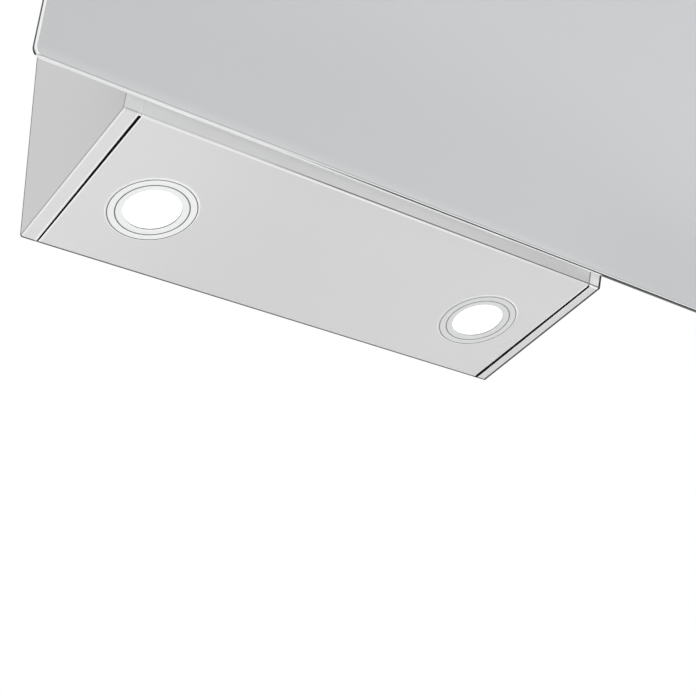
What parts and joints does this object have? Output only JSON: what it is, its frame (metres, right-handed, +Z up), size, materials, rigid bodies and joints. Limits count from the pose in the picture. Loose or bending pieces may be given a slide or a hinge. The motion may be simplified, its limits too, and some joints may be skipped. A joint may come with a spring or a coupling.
{
  "type": "wall range hood",
  "caption": "Angled wall range hood with a white glass front that swings up, a tilted lamp panel, grease filters, a blower with a damper collar and a telescoping chimney.",
  "frame": {"origin": "on the wall plane, midway between the two hanging slots of the back panel", "axes": "+X to the viewer's right, +Y into the wall, +Z up; the glass front faces -Y"},
  "size_m": [0.598, 0.2849, 0.849],
  "materials": {
    "white_paint": "satin powder coat",
    "white_glass": "back-lacquered, polished",
    "zinc_sheet": "zinc coated",
    "filter_metal": "anodised",
    "filter_mesh": "expanded mesh",
    "lamp_trim": "satin",
    "lamp_lens": "opal",
    "board": "laminate",
    "spring_steel": "bright",
    "black_plastic": "moulded",
    "motor_metal": "satin",
    "control_metal": "satin"
  },
  "bodies": {
    "hood": {"left_side_panel": "white_paint", "right_side_panel": "white_paint", "lamp_panel": "white_paint", "front_rail": "white_paint", "lower_chimney": "white_paint", "back_panel": "zinc_sheet", "top_panel": "zinc_sheet", "filter_tray": "zinc_sheet", "blower_cover": "zinc_sheet", "blower_case": "zinc_sheet", "outlet_duct": "zinc_sheet", "chimney_bracket": "zinc_sheet", "left_hinge_bracket": "zinc_sheet", "right_hinge_bracket": "zinc_sheet", "terminal_box": "zinc_sheet", "left_filter_frame": "filter_metal", "right_filter_frame": "filter_metal", "filter_post": "filter_metal", "left_filter_mesh": "filter_mesh", "right_filter_mesh": "filter_mesh", "left_lamp_trim": "lamp_trim", "right_lamp_trim": "lamp_trim", "left_lamp_cap": "lamp_trim", "right_lamp_cap": "lamp_trim", "left_lamp_lens": "lamp_lens", "right_lamp_lens": "lamp_lens", "left_lamp_board": "board", "right_lamp_board": "board", "left_lamp_clips": "spring_steel", "right_lamp_clips": "spring_steel", "hinge_pins": "spring_steel", "hinge_screws": "spring_steel", "damper_spindle": "spring_steel", "left_catch": "black_plastic", "right_catch": "black_plastic", "cable_gland": "black_plastic", "inlet_guard": "black_plastic", "outlet_collar": "black_plastic", "motor_case": "motor_metal"},
    "glass_front": {"glass_panel": "white_glass", "glass_carrier": "zinc_sheet", "left_hinge_arm": "zinc_sheet", "right_hinge_arm": "zinc_sheet", "catch_strikes": "zinc_sheet", "control_bezel": "control_metal", "switch_housing": "black_plastic", "switch_board": "board"},
    "fan": {"fan_wheel": "black_plastic", "motor_shaft": "spring_steel"},
    "front_flap": {"front_damper_flap": "black_plastic"},
    "rear_flap": {"rear_damper_flap": "black_plastic"},
    "upper_cover": {"upper_chimney": "white_paint"},
    "left_latch": {"left_filter_latch": "black_plastic"},
    "right_latch": {"right_filter_latch": "black_plastic"},
    "button_1": {"button_1": "control_metal"},
    "button_2": {"button_2": "control_metal"},
    "button_3": {"button_3": "control_metal"},
    "button_4": {"button_4": "control_metal"},
    "button_5": {"button_5": "control_metal"}
  },
  "joints": [
    {"name": "glass_swing", "type": "hinge", "parent": "hood", "child": "glass_front", "pos_m": [0, -0.25444, 0.04188], "axis": [-1, 0, 0], "range_deg": [0, 70]},
    {"name": "fan_spin", "type": "hinge", "parent": "hood", "child": "fan", "pos_m": [-0.067, -0.06, -0.12], "axis": [0, 1, 0], "continuous": true},
    {"name": "front_flap_swing", "type": "hinge", "parent": "hood", "child": "front_flap", "pos_m": [0, -0.105, 0.089], "axis": [-1, 0, 0], "range_deg": [0, 80]},
    {"name": "rear_flap_swing", "type": "hinge", "parent": "hood", "child": "rear_flap", "pos_m": [0, -0.105, 0.089], "axis": [1, 0, 0], "range_deg": [0, 80]},
    {"name": "cover_slide", "type": "slide", "parent": "hood", "child": "upper_cover", "axis": [0, 0, 1], "range_m": [0, 0.34]},
    {"name": "left_latch_slide", "type": "slide", "parent": "hood", "child": "left_latch", "axis": [-1, 0, 0], "range_m": [0, 0.005], "stiffness_N_per_m": 200, "springref_m": -0.002},
    {"name": "right_latch_slide", "type": "slide", "parent": "hood", "child": "right_latch", "axis": [1, 0, 0], "range_m": [0, 0.005], "stiffness_N_per_m": 200, "springref_m": -0.002},
    {"name": "button_1_press", "type": "slide", "parent": "glass_front", "child": "button_1", "axis": [0, 0.9659, 0.2588], "range_m": [0, 0.002], "stiffness_N_per_m": 800, "springref_m": -0.001},
    {"name": "button_2_press", "type": "slide", "parent": "glass_front", "child": "button_2", "axis": [0, 0.9659, 0.2588], "range_m": [0, 0.002], "stiffness_N_per_m": 800, "springref_m": -0.001},
    {"name": "button_3_press", "type": "slide", "parent": "glass_front", "child": "button_3", "axis": [0, 0.9659, 0.2588], "range_m": [0, 0.002], "stiffness_N_per_m": 800, "springref_m": -0.001},
    {"name": "button_4_press", "type": "slide", "parent": "glass_front", "child": "button_4", "axis": [0, 0.9659, 0.2588], "range_m": [0, 0.002], "stiffness_N_per_m": 800, "springref_m": -0.001},
    {"name": "button_5_press", "type": "slide", "parent": "glass_front", "child": "button_5", "axis": [0, 0.9659, 0.2588], "range_m": [0, 0.002], "stiffness_N_per_m": 800, "springref_m": -0.001}
  ]
}
